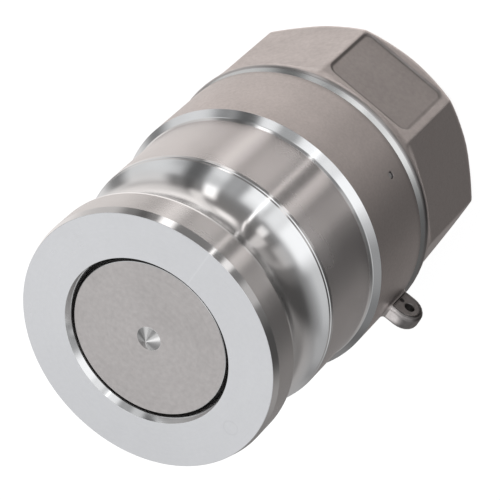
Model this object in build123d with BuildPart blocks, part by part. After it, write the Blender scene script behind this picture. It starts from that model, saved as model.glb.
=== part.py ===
from build123d import *
import os
from math import cos, radians, sqrt, tan

# Dry break coupling half: a cam groove adaptor that shuts itself with a spring
# loaded poppet. It stands on its threaded tail, +Z runs out of the nose, the
# origin is the centre of the tail's end face, and the lug points along +X.
# All sizes are in millimetres.

# Nose and body, turned and cast in one piece
nose_r = 31.5
nose_lead_width = 0.5
nose_lead = 2.0
nose_flange_length = 9.1
flange_edge_break = 0.25
cam_groove_length = 16.9
cam_groove_arc_r = 12.0
shoulder_bevel = 0.4
shoulder_length = 19.6
band_length = 1.9
band_step = 1.8
body_length = 20.9
body_edge_break = 0.35

# Mouth, throat, conical seat and chambers in the nose
neck_depth = 8.1
neck_chamber_below_groove = 0.2
seat_width = 3.8
throat_depth = 3.4
mouth_bevel = 0.8
mouth_depth = 1.4
chamber_ledge = 2.0

# Lug with its eye
lug_standoff = 3.3
lug_round_r = 4.2
lug_thickness = 4.0
lug_above_joint = 6.1
lug_edge_r = 1.0
lug_root = 1.0
eye_r = 1.2
eye_offset = 0.5

# Tail with wrench flats and a female pipe thread
collar_step = 0.5
collar_length = 4.8
collar_lead_width = 1.2
collar_lead = 1.8
collar_neck = 0.6
collar_back_r = 1.0
octagon_sides = 8
octagon_flats = 62.5
octagon_length = 25.8
octagon_corner_fillet = 1.3
octagon_turn = -1.9
octagon_end_width = 0.25
octagon_end_chamfer = 3.8
octagon_front_chamfer = 0.7
thread_root_r = 23.9
thread_lead = 1.3
thread_length = 21.0
thread_relief = 0.4
thread_relief_length = 2.5
tail_throat_width = 2.9
tail_throat_length = 3.0

# Recessed panel on one wrench flat
panel_margin = 1.75
panel_low = 2.2
panel_below_collar = 4.4
panel_rise = 1.3
panel_corner_r = 2.0
panel_depth = 0.5

# Screwed joint between body and tail
body_wall = 3.3
joint_thread_length = 7.6
joint_step = 1.0
joint_clearance = 0.1
joint_seal_land = 5.3
joint_seal_cord_r = 1.3
joint_seal_gap = 0.03
joint_seal_side_gap = 0.2
spigot_wall = 4.0

# Pin that locks the screwed joint
lock_pin_r = 0.8
lock_pin_clearance = 0.02
lock_pin_angle = 60.4
lock_pin_above_joint = 6.4
lock_pin_length = 5.4
lock_pin_sunk = 0.35
lock_pin_edge_break = 0.15

# Poppet with its seal and the parts that clamp the seal
throat_gap = 0.9
poppet_recess = 1.4
poppet_edge_break = 0.15
pip_r = 2.6
pip_height = 1.3
pip_tip_r = 0.25
seal_cord_r = 1.75
seal_overhang = 0.2
seal_seat_gap = 0.3
seal_groove_gap = 0.06
retainer_cover = 0.75
retainer_thickness = 3.5
retainer_bevel = 0.8
shank_thread_r = 5.95
shank_thread_past_nut = 2.0
fastener_clearance = 0.05
retainer_washer_r = 12.0
retainer_washer_thickness = 1.6
washer_edge_break = 0.2
nut_sides = 6
retainer_nut_flats = 18.0
retainer_nut_height = 6.0
stem_r = 4.95
stem_end_thread_r = 3.95
stem_end_past_nut = 1.2
stem_end_break = 0.6

# Guide spider that carries the stem
spider_ring_thickness = 4.0
spider_ring_clearance = 0.15
spider_leg_count = 3
spider_leg_width = 4.5
spider_leg_rise = 1.5
spider_leg_fillet = 1.2
spider_leg_root = 1.0
spider_first_leg = 60
hub_wall = 2.2
hub_above_legs = 4.0
hub_length = 14.0
hub_edge_break = 0.6
bush_wall = 1.3
bush_sleeve_length = 6.0
bush_flange_wall = 2.6
bush_flange_thickness = 1.0
bush_running_clearance = 0.05
bush_fit = 0.02

# Spring and its seat
spring_wire_r = 1.4
spring_mid_r = 15.0
spring_turns = 5.0
spring_seat_thickness = 1.6
spring_seat_lip = 1.0
spring_seat_rim = 1.1

# Stop washer and nut on the stem's rear end
stop_gap = 0.3
stop_washer_r = 8.0
stop_washer_thickness = 1.6
stop_nut_flats = 13.0
stop_nut_height = 6.5

# Radii that follow from the sizes above
body_r = nose_r + band_step
collar_r = body_r + collar_step
joint_thread_r = body_r - body_wall
joint_seal_bore_r = joint_thread_r - joint_step
spigot_r = joint_thread_r - joint_clearance
spigot_nose_r = joint_seal_bore_r - joint_clearance
joint_seal_mid_r = joint_seal_bore_r - joint_seal_gap - joint_seal_cord_r
wide_chamber_r = joint_seal_bore_r - chamber_ledge
tail_chamber_r = joint_seal_bore_r - spigot_wall
neck_chamber_r = nose_r - neck_depth
throat_r = neck_chamber_r - seat_width
mouth_r = throat_r + mouth_bevel
poppet_r = throat_r - throat_gap
seal_mid_r = poppet_r + seal_overhang
seal_groove_r = seal_mid_r - seal_cord_r - seal_groove_gap
retainer_r = seal_mid_r + seal_cord_r + retainer_cover
shank_hole_r = shank_thread_r + fastener_clearance
stem_end_hole_r = stem_end_thread_r + fastener_clearance
bush_bore_r = stem_r + bush_running_clearance
bush_r = bush_bore_r + bush_wall
hub_bore_r = bush_r + bush_fit
hub_r = hub_bore_r + hub_wall
spring_seat_bore_r = hub_r + fastener_clearance
spring_lip_r = spring_mid_r + spring_wire_r + 2 * fastener_clearance
spring_seat_r = spring_lip_r + spring_seat_rim
octagon_half_side = 180 / octagon_sides
octagon_corner_r = octagon_flats / 2 / cos(radians(octagon_half_side))
octagon_end_r = octagon_flats / 2 - octagon_end_width
panel_width = octagon_flats * tan(radians(octagon_half_side)) - 2 * panel_margin
tail_throat_r = thread_root_r - tail_throat_width
lug_centre_r = body_r + lug_standoff
lock_pin_foot_r = body_r - lock_pin_sunk - lock_pin_length

# Heights above the tail's end face
octagon_top = octagon_length
joint_height = octagon_top + collar_length
body_top = joint_height + body_length
band_top = body_top + band_length
groove_base = band_top + shoulder_length
flange_base = groove_base + cam_groove_length
nose_top = flange_base + nose_flange_length
seat_top = nose_top - throat_depth
neck_chamber_top = seat_top - seat_width
neck_chamber_base = groove_base - neck_chamber_below_groove
wide_chamber_top = neck_chamber_base - (wide_chamber_r - neck_chamber_r)
joint_thread_top = joint_height + joint_thread_length
joint_seal_height = joint_thread_top + joint_seal_land / 2
spigot_top = joint_thread_top + joint_seal_land
spider_ring_top = spigot_top + spider_ring_thickness
leg_top = spider_ring_top + spider_leg_rise
hub_top = leg_top + hub_above_legs
hub_base = hub_top - hub_length
spring_base = leg_top + spring_seat_thickness
poppet_face = nose_top - poppet_recess
seal_height = seat_top + throat_r - seal_mid_r - sqrt(2) * (seal_cord_r + seal_seat_gap)
disc_back = seal_height + seal_cord_r + seal_groove_gap
retainer_top = seal_height - seal_cord_r - seal_groove_gap
retainer_base = retainer_top - retainer_thickness
retainer_washer_base = retainer_base - retainer_washer_thickness
retainer_nut_base = retainer_washer_base - retainer_nut_height
shank_thread_base = retainer_nut_base - shank_thread_past_nut
stop_face = hub_base - bush_flange_thickness - stop_gap
stop_washer_base = stop_face - stop_washer_thickness
stop_nut_base = stop_washer_base - stop_nut_height
stem_base = stop_nut_base - stem_end_past_nut
thread_relief_top = thread_length + thread_relief_length
tail_throat_top = thread_relief_top + tail_throat_length
panel_high = octagon_top - panel_below_collar
lug_height = joint_height + lug_above_joint
lock_pin_height = joint_height + lock_pin_above_joint

# Planes that the lock pin and the panel stand on
pin_plane = Plane(
    origin=(0, 0, lock_pin_height),
    x_dir=(0, 0, 1),
    z_dir=Vector(1, 0, 0).rotate(Axis.Z, lock_pin_angle),
)
panel_plane = Plane(
    origin=Vector(0, octagon_flats / 2, 0).rotate(Axis.Z, octagon_turn),
    x_dir=Vector(-1, 0, 0).rotate(Axis.Z, octagon_turn),
    z_dir=Vector(0, 1, 0).rotate(Axis.Z, octagon_turn),
)


with BuildPart() as nose_body:
    with BuildSketch(Plane.XZ):
        with BuildLine():
            Polyline(
                (joint_thread_r, joint_height),
                (body_r - body_edge_break, joint_height),
                (body_r, joint_height + body_edge_break),
                (body_r, body_top),
                (nose_r, band_top),
                (nose_r, groove_base - shoulder_bevel),
                (nose_r - shoulder_bevel, groove_base),
            )
            RadiusArc(
                (nose_r - shoulder_bevel, groove_base),
                (nose_r - flange_edge_break, flange_base),
                cam_groove_arc_r,
            )
            Polyline(
                (nose_r - flange_edge_break, flange_base),
                (nose_r, flange_base + flange_edge_break),
                (nose_r, nose_top - nose_lead),
                (nose_r - nose_lead_width, nose_top),
                (mouth_r, nose_top),
                (throat_r, nose_top - mouth_depth),
                (throat_r, seat_top),
                (neck_chamber_r, neck_chamber_top),
                (neck_chamber_r, neck_chamber_base),
                (wide_chamber_r, wide_chamber_top),
                (wide_chamber_r, spider_ring_top),
                (joint_seal_bore_r, spider_ring_top),
                (joint_seal_bore_r, joint_thread_top + joint_step),
                (joint_thread_r, joint_thread_top),
                (joint_thread_r, joint_height),
            )
        make_face()
    revolve(axis=Axis.Z)
    with BuildSketch(Plane.XZ.offset(-lug_thickness / 2)):
        with Locations((lug_centre_r, lug_height)):
            Circle(lug_round_r)
        with Locations((lug_centre_r, lug_height)):
            Rectangle(lug_centre_r - body_r + lug_root, 2 * lug_round_r, align=(Align.MAX, Align.CENTER))
    lug = extrude(amount=lug_thickness)
    fillet(
        lug.faces().filter_by(Axis.Y).edges().filter_by(lambda e: e.center().X > body_r + lug_edge_r),
        lug_edge_r,
    )
    with BuildSketch(Plane.XZ.offset(-lug_thickness)):
        with Locations((lug_centre_r + eye_offset, lug_height)):
            Circle(eye_r)
    extrude(amount=2 * lug_thickness, mode=Mode.SUBTRACT)
    with BuildSketch(pin_plane.offset(lock_pin_foot_r)):
        Circle(lock_pin_r + lock_pin_clearance)
    extrude(amount=body_r, mode=Mode.SUBTRACT)
nose_body.part.label = "nose_body"


with BuildPart() as tail_socket:
    with BuildSketch(Plane.XY):
        RegularPolygon(
            octagon_flats / 2,
            octagon_sides,
            major_radius=False,
            rotation=octagon_turn + octagon_half_side,
        )
        fillet(vertices(), octagon_corner_fillet)
    extrude(amount=octagon_top + collar_neck)
    with BuildSketch(Plane.XZ):
        with BuildLine():
            Polyline(
                (0, 0),
                (octagon_end_r, 0),
                (octagon_corner_r, octagon_end_chamfer),
                (octagon_corner_r, octagon_top - octagon_front_chamfer),
                (octagon_corner_r - octagon_front_chamfer, octagon_top),
                (octagon_corner_r - octagon_front_chamfer, octagon_top + collar_neck),
                (0, octagon_top + collar_neck),
                (0, 0),
            )
        make_face()
    revolve(axis=Axis.Z, mode=Mode.INTERSECT)
    with BuildSketch(Plane.XZ):
        with BuildLine():
            Line((0, octagon_top), (collar_r - collar_back_r, octagon_top))
            RadiusArc(
                (collar_r - collar_back_r, octagon_top),
                (collar_r, octagon_top + collar_back_r),
                -collar_back_r,
            )
            Polyline(
                (collar_r, octagon_top + collar_back_r),
                (collar_r, joint_height - collar_lead),
                (collar_r - collar_lead_width, joint_height),
                (spigot_r, joint_height),
                (spigot_r, joint_thread_top - joint_step),
                (spigot_nose_r, joint_thread_top),
                (spigot_nose_r, spigot_top),
                (0, spigot_top),
                (0, octagon_top),
            )
        make_face()
    revolve(axis=Axis.Z)
    with BuildSketch(Plane.XZ):
        with BuildLine():
            Polyline(
                (0, 0),
                (thread_root_r + thread_lead, 0),
                (thread_root_r, thread_lead),
                (thread_root_r, thread_length),
                (thread_root_r + thread_relief, thread_length),
                (thread_root_r + thread_relief, thread_relief_top),
                (tail_throat_r, thread_relief_top),
                (tail_throat_r, tail_throat_top),
                (tail_chamber_r, tail_throat_top + tail_chamber_r - tail_throat_r),
                (tail_chamber_r, spigot_top),
                (0, spigot_top),
                (0, 0),
            )
        make_face()
    revolve(axis=Axis.Z, mode=Mode.SUBTRACT)
    with BuildSketch(Plane.XZ):
        with Locations((spigot_nose_r, joint_seal_height)):
            Rectangle(
                2 * (spigot_nose_r - joint_seal_mid_r + joint_seal_cord_r + joint_seal_gap),
                2 * (joint_seal_cord_r + joint_seal_side_gap),
            )
    revolve(axis=Axis.Z, mode=Mode.SUBTRACT)
    with BuildSketch(panel_plane):
        with BuildLine():
            ThreePointArc(
                (-panel_width / 2, panel_low + panel_rise),
                (0, panel_low),
                (panel_width / 2, panel_low + panel_rise),
            )
            Polyline(
                (panel_width / 2, panel_low + panel_rise),
                (panel_width / 2, panel_high),
                (-panel_width / 2, panel_high),
                (-panel_width / 2, panel_low + panel_rise),
            )
        make_face()
        fillet(vertices(), panel_corner_r)
    extrude(amount=-panel_depth, mode=Mode.SUBTRACT)
    with BuildSketch(pin_plane.offset(lock_pin_foot_r)):
        Circle(lock_pin_r + lock_pin_clearance)
    extrude(amount=body_r, mode=Mode.SUBTRACT)
tail_socket.part.label = "tail_socket"


with BuildPart() as body_joint_seal:
    with BuildSketch(Plane.XZ):
        with Locations((joint_seal_mid_r, joint_seal_height)):
            Circle(joint_seal_cord_r)
    revolve(axis=Axis.Z)
body_joint_seal.part.label = "body_joint_seal"


with BuildPart() as joint_lock_pin:
    with BuildSketch(pin_plane.offset(body_r - lock_pin_sunk)):
        Circle(lock_pin_r)
    extrude(amount=-lock_pin_length)
    chamfer(joint_lock_pin.edges().filter_by(GeomType.CIRCLE), lock_pin_edge_break)
joint_lock_pin.part.label = "joint_lock_pin"


with BuildPart() as guide_spider:
    with BuildSketch(Plane.XY.offset(spigot_top)):
        Circle(joint_seal_bore_r - spider_ring_clearance)
        Circle(tail_chamber_r, mode=Mode.SUBTRACT)
    extrude(amount=spider_ring_thickness)
    with BuildSketch(Plane.XY.offset(spigot_top)):
        with PolarLocations(0, spider_leg_count, start_angle=spider_first_leg):
            with Locations(((hub_r + tail_chamber_r) / 2, 0)):
                Rectangle(tail_chamber_r - hub_r + 2 * spider_leg_root, spider_leg_width)
    legs = extrude(amount=leg_top - spigot_top)
    fillet(
        legs.edges().filter_by(lambda e: abs(e.center().Z - leg_top) < 0.01)
        .filter_by(lambda e: e.length > spider_leg_width + 0.01),
        spider_leg_fillet,
    )
    with BuildSketch(Plane.XY.offset(hub_base)):
        Circle(hub_r)
    extrude(amount=hub_length)
    chamfer(
        guide_spider.edges().filter_by(GeomType.CIRCLE)
        .filter_by(lambda e: e.radius < hub_r + 0.01)
        .filter_by(lambda e: min(abs(e.center().Z - hub_top), abs(e.center().Z - hub_base)) < 0.01),
        hub_edge_break,
    )
    with BuildSketch(Plane.XY.offset(hub_base)):
        Circle(hub_bore_r)
    extrude(amount=hub_length, mode=Mode.SUBTRACT)
guide_spider.part.label = "guide_spider"


def guide_bush(end_height, outward):
    """A flanged sleeve pressed into one end of the hub."""
    with BuildPart() as bush:
        with BuildSketch(Plane.XY.offset(end_height)):
            Circle(bush_r)
        extrude(amount=-outward * bush_sleeve_length)
        with BuildSketch(Plane.XY.offset(end_height)):
            Circle(bush_bore_r + bush_flange_wall)
        extrude(amount=outward * bush_flange_thickness)
        with BuildSketch(Plane.XY.offset(end_height + outward * bush_flange_thickness)):
            Circle(bush_bore_r)
        extrude(amount=-outward * hub_length, mode=Mode.SUBTRACT)
    return bush.part


front_guide_bush = guide_bush(hub_top, 1)
front_guide_bush.label = "front_guide_bush"
rear_guide_bush = guide_bush(hub_base, -1)
rear_guide_bush.label = "rear_guide_bush"


with BuildPart() as poppet_valve:
    with BuildSketch(Plane.XZ):
        with BuildLine():
            Polyline(
                (0, stem_base),
                (stem_end_thread_r - stem_end_break, stem_base),
                (stem_end_thread_r, stem_base + stem_end_break),
                (stem_end_thread_r, stop_face),
                (stem_r, stop_face),
                (stem_r, shank_thread_base),
                (shank_thread_r, shank_thread_base + shank_thread_r - stem_r),
                (shank_thread_r, retainer_top),
                (seal_groove_r, retainer_top),
                (seal_groove_r, disc_back),
                (poppet_r, disc_back),
                (poppet_r, poppet_face - poppet_edge_break),
                (poppet_r - poppet_edge_break, poppet_face),
                (pip_r, poppet_face),
                (pip_tip_r, poppet_face + pip_height),
                (0, poppet_face + pip_height),
                (0, stem_base),
            )
        make_face()
    revolve(axis=Axis.Z)
poppet_valve.part.label = "poppet_valve"


with BuildPart() as poppet_seal:
    with BuildSketch(Plane.XZ):
        with Locations((seal_mid_r, seal_height)):
            Circle(seal_cord_r)
    revolve(axis=Axis.Z)
poppet_seal.part.label = "poppet_seal"


with BuildPart() as seal_retainer:
    with BuildSketch(Plane.XZ):
        with BuildLine():
            Polyline(
                (shank_hole_r, retainer_top),
                (retainer_r - retainer_bevel, retainer_top),
                (retainer_r, retainer_top - retainer_bevel),
                (retainer_r, retainer_base + retainer_bevel),
                (retainer_r - retainer_bevel, retainer_base),
                (shank_hole_r, retainer_base),
                (shank_hole_r, retainer_top),
            )
        make_face()
    revolve(axis=Axis.Z)
seal_retainer.part.label = "seal_retainer"


def plain_washer(name, base, thickness, outer_r, inner_r):
    """A flat washer with its lower face at the height base."""
    with BuildPart() as washer:
        with BuildSketch(Plane.XY.offset(base)):
            Circle(outer_r)
            Circle(inner_r, mode=Mode.SUBTRACT)
        extrude(amount=thickness)
        chamfer(
            washer.edges().filter_by(GeomType.CIRCLE).filter_by(lambda e: e.radius > outer_r - 0.01),
            washer_edge_break,
        )
    washer.part.label = name
    return washer.part


def hex_nut(name, base, height, flats, bore_r):
    """A plain hexagon nut with turned corners and its lower face at base."""
    corner_r = flats / 2 / cos(radians(180 / nut_sides))
    with BuildPart() as nut:
        with BuildSketch(Plane.XY.offset(base)):
            RegularPolygon(flats / 2, nut_sides, major_radius=False)
        extrude(amount=height)
        with BuildSketch(Plane.XZ):
            with BuildLine():
                turned = corner_r - flats / 2
                Polyline(
                    (0, base),
                    (flats / 2, base),
                    (corner_r, base + turned / 2),
                    (corner_r, base + height - turned / 2),
                    (flats / 2, base + height),
                    (0, base + height),
                    (0, base),
                )
            make_face()
        revolve(axis=Axis.Z, mode=Mode.INTERSECT)
        with BuildSketch(Plane.XY.offset(base)):
            Circle(bore_r)
        extrude(amount=height, mode=Mode.SUBTRACT)
    nut.part.label = name
    return nut.part


retainer_washer = plain_washer(
    "retainer_washer",
    retainer_washer_base,
    retainer_washer_thickness,
    retainer_washer_r,
    shank_hole_r,
)
retainer_nut = hex_nut(
    "retainer_nut",
    retainer_nut_base,
    retainer_nut_height,
    retainer_nut_flats,
    shank_hole_r,
)
stop_washer = plain_washer(
    "stop_washer", stop_washer_base, stop_washer_thickness, stop_washer_r, stem_end_hole_r
)
stop_nut = hex_nut(
    "stop_nut", stop_nut_base, stop_nut_height, stop_nut_flats, stem_end_hole_r
)


with BuildPart() as spring_seat:
    with BuildSketch(Plane.XZ):
        with BuildLine():
            Polyline(
                (spring_seat_bore_r, leg_top),
                (spring_seat_r, leg_top),
                (spring_seat_r, spring_base + spring_seat_lip),
                (spring_lip_r, spring_base + spring_seat_lip),
                (spring_lip_r, spring_base),
                (spring_seat_bore_r, spring_base),
                (spring_seat_bore_r, leg_top),
            )
        make_face()
    revolve(axis=Axis.Z)
spring_seat.part.label = "spring_seat"


spring_length = retainer_base - spring_base
spring_pitch = spring_length / spring_turns
with BuildPart() as return_spring:
    with BuildLine(Plane.XY.offset(spring_base - spring_wire_r)):
        coil = Helix(
            pitch=spring_pitch,
            height=spring_length + 2 * spring_wire_r,
            radius=spring_mid_r,
        )
    with BuildSketch(Plane(origin=coil @ 0, z_dir=coil % 0)):
        Circle(spring_wire_r)
    sweep(path=coil, is_frenet=True)
    split(bisect_by=Plane.XY.offset(spring_base), keep=Keep.TOP)
    split(bisect_by=Plane.XY.offset(retainer_base), keep=Keep.BOTTOM)
return_spring.part.label = "return_spring"


pieces = [
    nose_body.part,
    tail_socket.part,
    body_joint_seal.part,
    joint_lock_pin.part,
    guide_spider.part,
    front_guide_bush,
    rear_guide_bush,
    poppet_valve.part,
    poppet_seal.part,
    seal_retainer.part,
    retainer_washer,
    retainer_nut,
    stop_washer,
    stop_nut,
    spring_seat.part,
    return_spring.part,
]
os.makedirs("parts", exist_ok=True)
for piece in pieces:
    export_step(piece, "parts/" + piece.label + ".step")
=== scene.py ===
from math import atan2, ceil, cos, hypot, pi, radians, sin, sqrt, tan

import bpy
import numpy as np
from mathutils import Matrix, Vector


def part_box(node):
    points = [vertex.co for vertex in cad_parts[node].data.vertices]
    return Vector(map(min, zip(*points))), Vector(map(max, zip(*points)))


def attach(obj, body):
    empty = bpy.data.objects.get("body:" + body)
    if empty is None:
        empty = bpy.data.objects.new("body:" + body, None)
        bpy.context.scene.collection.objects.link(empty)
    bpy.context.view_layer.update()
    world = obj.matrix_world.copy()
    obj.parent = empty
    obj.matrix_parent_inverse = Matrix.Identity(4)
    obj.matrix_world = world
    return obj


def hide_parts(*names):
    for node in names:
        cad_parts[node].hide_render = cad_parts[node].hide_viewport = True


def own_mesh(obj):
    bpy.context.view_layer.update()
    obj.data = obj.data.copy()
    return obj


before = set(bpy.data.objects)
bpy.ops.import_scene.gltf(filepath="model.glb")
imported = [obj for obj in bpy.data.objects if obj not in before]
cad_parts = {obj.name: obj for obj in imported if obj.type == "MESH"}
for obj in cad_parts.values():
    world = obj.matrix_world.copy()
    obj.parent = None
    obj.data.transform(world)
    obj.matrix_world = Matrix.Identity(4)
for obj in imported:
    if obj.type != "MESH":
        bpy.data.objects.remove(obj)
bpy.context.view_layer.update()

MM = 0.001
# Columns in a full turn of the turned pieces
STEPS = 192


# Camera, set where the photograph was taken from

def make_camera():
    azimuth, elevation, roll = radians(170.0), radians(49.076), radians(133.893)
    aim, distance = Vector((0.975, -2.118, 51.161)) * MM, 667.916
    back = Vector((
        sin(azimuth) * cos(elevation),
        -cos(azimuth) * cos(elevation),
        sin(elevation),
    ))
    right_level = (-back).cross(Vector((0, 0, 1))).normalized()
    up_level = right_level.cross(-back)
    up = up_level * cos(roll) + right_level * sin(roll)
    right = (-back).cross(up)
    data = bpy.data.cameras.new("camera")
    data.lens = 210.997
    data.sensor_width = 36
    data.clip_start = 0.05
    data.clip_end = 20
    camera = bpy.data.objects.new("camera", data)
    place = Matrix((right, up, back)).transposed().to_4x4()
    place.translation = aim + back * distance * MM
    camera.matrix_world = place
    bpy.context.scene.collection.objects.link(camera)
    bpy.context.scene.camera = camera


make_camera()


# Short ways to build shader nodes

class Nodes:
    def __init__(self, tree):
        self.tree = tree
        tree.nodes.clear()

    def add(self, kind, inputs=None, **settings):
        node = self.tree.nodes.new(kind)
        for key, value in settings.items():
            setattr(node, key, value)
        for key, value in (inputs or {}).items():
            self.feed(node.inputs[key], value)
        return node

    def feed(self, socket, value):
        if isinstance(value, bpy.types.NodeSocket):
            self.tree.links.new(value, socket)
        else:
            socket.default_value = value

    def math(self, operation, a, b=0.0, c=0.0, clamp=False):
        node = self.add("ShaderNodeMath", operation=operation, use_clamp=clamp)
        for socket, value in zip(node.inputs, (a, b, c)):
            self.feed(socket, value)
        return node.outputs[0]

    def ramp(self, value, low, high, to_low=0.0, to_high=1.0, smooth=True):
        node = self.add(
            "ShaderNodeMapRange",
            {"Value": value, "From Min": low, "From Max": high, "To Min": to_low, "To Max": to_high},
            interpolation_type="SMOOTHSTEP" if smooth else "LINEAR",
        )
        return node.outputs["Result"]

    def mix(self, share, a, b):
        node = self.add("ShaderNodeMix", data_type="RGBA")
        self.feed(node.inputs[0], share)
        self.feed(node.inputs[6], a)
        self.feed(node.inputs[7], b)
        return node.outputs[2]

    def blend(self, share, a, b):
        node = self.add("ShaderNodeMix", data_type="FLOAT")
        self.feed(node.inputs[0], share)
        self.feed(node.inputs[2], a)
        self.feed(node.inputs[3], b)
        return node.outputs[0]

    def noise(self, vector, scale, detail=2.0, rough=0.5):
        node = self.add(
            "ShaderNodeTexNoise",
            {"Vector": vector, "Scale": scale, "Detail": detail, "Roughness": rough},
        )
        return node.outputs["Fac"]


# World: white to the camera, and to metal a studio of white sheets and grey gaps

def make_world():
    world = bpy.data.worlds.new("studio")
    world.use_nodes = True
    bpy.context.scene.world = world
    n = Nodes(world.node_tree)
    direction = n.add("ShaderNodeTexCoord").outputs["Generated"]
    part = n.add("ShaderNodeSeparateXYZ", {"Vector": direction})
    azimuth = n.math("DEGREES", n.math("ARCTAN2", part.outputs["Y"], part.outputs["X"]))
    elevation = n.math("DEGREES", n.math("ARCSINE", part.outputs["Z"]))

    def sheet(under, centre, half_width, low, high, value, soft=6.0, soft_height=10.0):
        """A sheet or gap of the studio: its middle azimuth, half its width, and the elevations it spans."""
        off = n.math("WRAP", n.math("SUBTRACT", azimuth, centre), 180.0, -180.0)
        across = n.ramp(n.math("ABSOLUTE", off), half_width + soft, half_width - soft)
        above = n.ramp(elevation, low - soft_height, low + soft_height)
        below = n.ramp(elevation, high + soft_height, high - soft_height)
        share = n.math("MULTIPLY", across, n.math("MULTIPLY", above, below))
        return n.blend(share, under, value)

    # The grey room, the pale side on the left, and the two halves of the softbox above
    glow = sheet(0.32, 205, 50, -95, 95, 0.88, soft=14)
    glow = sheet(glow, 162, 10, 50, 68, 0.28, soft=8, soft_height=5)
    glow = sheet(glow, 224, 12, 8, 28, 0.40, soft=8, soft_height=6)
    glow = sheet(glow, 228, 34, -95, -14, 1.00, soft=22)
    glow = sheet(glow, 8, 44, 8, 95, 0.80, soft=26, soft_height=14)
    glow = sheet(glow, 57, 18, -1, 74, 1.36, soft=9, soft_height=8)
    glow = sheet(glow, 90, 18, -1, 74, 1.12, soft=5, soft_height=8)
    glow = sheet(glow, 87, 2.5, -6, 34, 0.80, soft=3)
    glow = sheet(glow, 116, 6, -4, 60, 0.48, soft=5)
    glow = sheet(glow, 130, 7, -4, 60, 0.78, soft=4)
    glow = sheet(glow, 131, 6, 22, 60, 1.20, soft=4)
    glow = sheet(glow, 163, 9, 16, 60, 0.32, soft=7, soft_height=5)
    glow = sheet(glow, 198, 18, 27, 42, 0.20, soft=8, soft_height=5)
    glow = sheet(glow, 147, 6.5, -8, 60, 0.15, soft=5)
    glow = sheet(glow, 178, 8, 2, 20, 0.95, soft=8)
    glow = sheet(glow, 206, 7, -22, 12, 0.30, soft=6, soft_height=5)
    glow = sheet(glow, -24, 12, -8, 14, 0.52, soft=8, soft_height=5)
    glow = sheet(glow, -68, 16, -18, 12, 0.62, soft=10, soft_height=5)
    glow = sheet(glow, -110, 40, 38, 75, 1.10, soft=20, soft_height=14)
    glow = sheet(glow, -12, 14, 50, 72, 1.40, soft=8, soft_height=6)
    # Below the softbox: dark gaps and the bright strips between them
    glow = sheet(glow, 88, 52, -100, -12, 0.25, soft=10)
    glow = sheet(glow, 14, 22, -100, -12, 0.09, soft=14)
    glow = sheet(glow, -58, 38, -100, -32, 0.25, soft=20)
    glow = sheet(glow, -58, 38, -32, -9, 0.48, soft=20, soft_height=6)
    glow = sheet(glow, 110, 18, -100, -64, 0.62, soft=8)
    glow = sheet(glow, 116, 14, -64, -48, 1.40, soft=8, soft_height=4)
    glow = sheet(glow, 68, 22, -100, -50, 0.42, soft=6)
    glow = sheet(glow, 185, 22, -33, -23, 0.66, soft=10, soft_height=5)
    glow = sheet(glow, 157, 9, -34, -6, 0.26, soft=7, soft_height=5)
    glow = sheet(glow, 148, 5, -34, -4, 0.14, soft=4, soft_height=5)
    glow = sheet(glow, 160, 8, -44, -36, 0.70, soft=8)
    glow = sheet(glow, 195, 62, -100, -48, 1.24, soft=8, soft_height=8)
    glow = sheet(glow, 54, 9, -34, -6, 0.62, soft=4, soft_height=6)
    glow = sheet(glow, 48, 4, -100, -34, 0.40, soft=2.5, soft_height=4)
    glow = sheet(glow, 79, 4, -34, -12, 1.20, soft=2, soft_height=4)
    glow = sheet(glow, 75, 6, -100, -34, 0.80, soft=3, soft_height=4)
    glow = sheet(glow, 86, 4, -100, -34, 0.17, soft=2)
    glow = sheet(glow, 130, 5.5, -32, -4, 1.70, soft=3, soft_height=5)
    glow = sheet(glow, 142, 6, -100, -30, 1.05, soft=3, soft_height=4)
    glow = sheet(glow, 98, 7, 12, 50, 1.28, soft=4, soft_height=6)
    glow = sheet(glow, 92.4, 1.0, -30, 60, 2.20, soft=0.9)
    glow = sheet(glow, 94.0, 1.0, -62, -32, 1.80, soft=0.9, soft_height=6)
    # The white floor beyond the coupling
    glow = sheet(glow, 235, 100, -100, -66, 1.35, soft=20, soft_height=6)

    rays = n.add("ShaderNodeLightPath").outputs
    shine = n.math("ADD", rays["Is Glossy Ray"], rays["Is Transmission Ray"], clamp=True)
    seen = n.math("ADD", rays["Is Camera Ray"], shine, clamp=True)
    around = n.add("ShaderNodeBackground", {"Color": (0.95, 0.97, 1.0, 1), "Strength": 0.55})
    # Light from the softbox is cool and light from the floor is warm
    tint = n.mix(n.ramp(elevation, -40, 10), (1.0, 0.955, 0.935, 1), (0.975, 0.985, 1.0, 1))
    tint = n.mix(shine, (1, 1, 1, 1), tint)
    white = n.add("ShaderNodeBackground", {"Color": tint, "Strength": n.blend(shine, 1.0, glow)})
    mixed = n.add(
        "ShaderNodeMixShader", {0: seen, 1: around.outputs[0], 2: white.outputs[0]}
    )
    n.add("ShaderNodeOutputWorld", {"Surface": mixed.outputs[0]})


def make_lamp(name, azimuth, elevation, distance, width, height, power):
    """A soft lamp aimed at the middle of the part. Metal doesn't mirror it."""
    data = bpy.data.lights.new(name, "AREA")
    data.shape = "RECTANGLE"
    data.size, data.size_y = width, height
    data.energy = power
    lamp = bpy.data.objects.new(name, data)
    a, e = radians(azimuth), radians(elevation)
    away = Vector((cos(a) * cos(e), sin(a) * cos(e), sin(e)))
    middle = Vector((0, 0, 0.05))
    lamp.location = middle + away * distance
    lamp.rotation_euler = away.to_track_quat("Z", "Y").to_euler()
    lamp.visible_glossy = False
    bpy.context.scene.collection.objects.link(lamp)


make_world()
make_lamp("key_softbox", 165, 38, 1.3, 0.9, 0.9, 9.0)
make_lamp("fill_softbox", 60, 55, 1.4, 1.2, 0.8, 4.0)


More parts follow.
